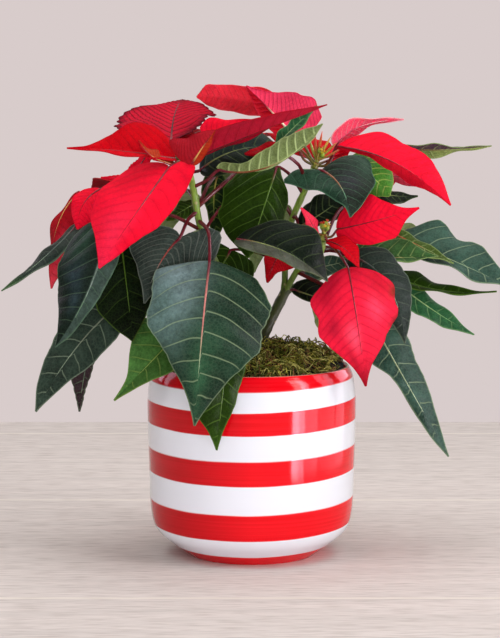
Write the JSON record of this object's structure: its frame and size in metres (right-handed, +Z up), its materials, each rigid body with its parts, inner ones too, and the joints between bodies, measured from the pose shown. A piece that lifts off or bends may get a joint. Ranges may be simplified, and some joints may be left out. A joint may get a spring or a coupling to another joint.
{
  "type": "potted poinsettia plant",
  "caption": "Red poinsettia with dark green leaves, growing through moss in a round glazed pot banded red and white.",
  "frame": {"origin": "centre of the pot's flat foot, on the surface that the pot stands on", "axes": "+Z up along the pot's axis, -Y to the plant's front with the large hanging leaf, +X to the right seen from the front"},
  "size_m": [0.3656, 0.2157, 0.3372],
  "materials": {
    "pot": "polished",
    "potting_mix": "matte",
    "moss": "matte",
    "foliage": "satin",
    "bract": "satin",
    "cyathium": "satin"
  },
  "bodies": {
    "root": {"pot": "pot", "potting_mix": "potting_mix", "moss": "moss", "stem_left": "foliage", "stem_far_left": "foliage", "stem_right": "foliage", "bracts_left": "bract", "bracts_far_left": "bract", "bracts_top": "bract", "bracts_front": "bract", "bracts_back": "bract", "cyathia_left": "cyathium", "cyathia_far_left": "cyathium", "cyathia_top": "cyathium", "cyathia_front": "cyathium", "cyathia_back": "cyathium"}
  },
  "joints": []
}
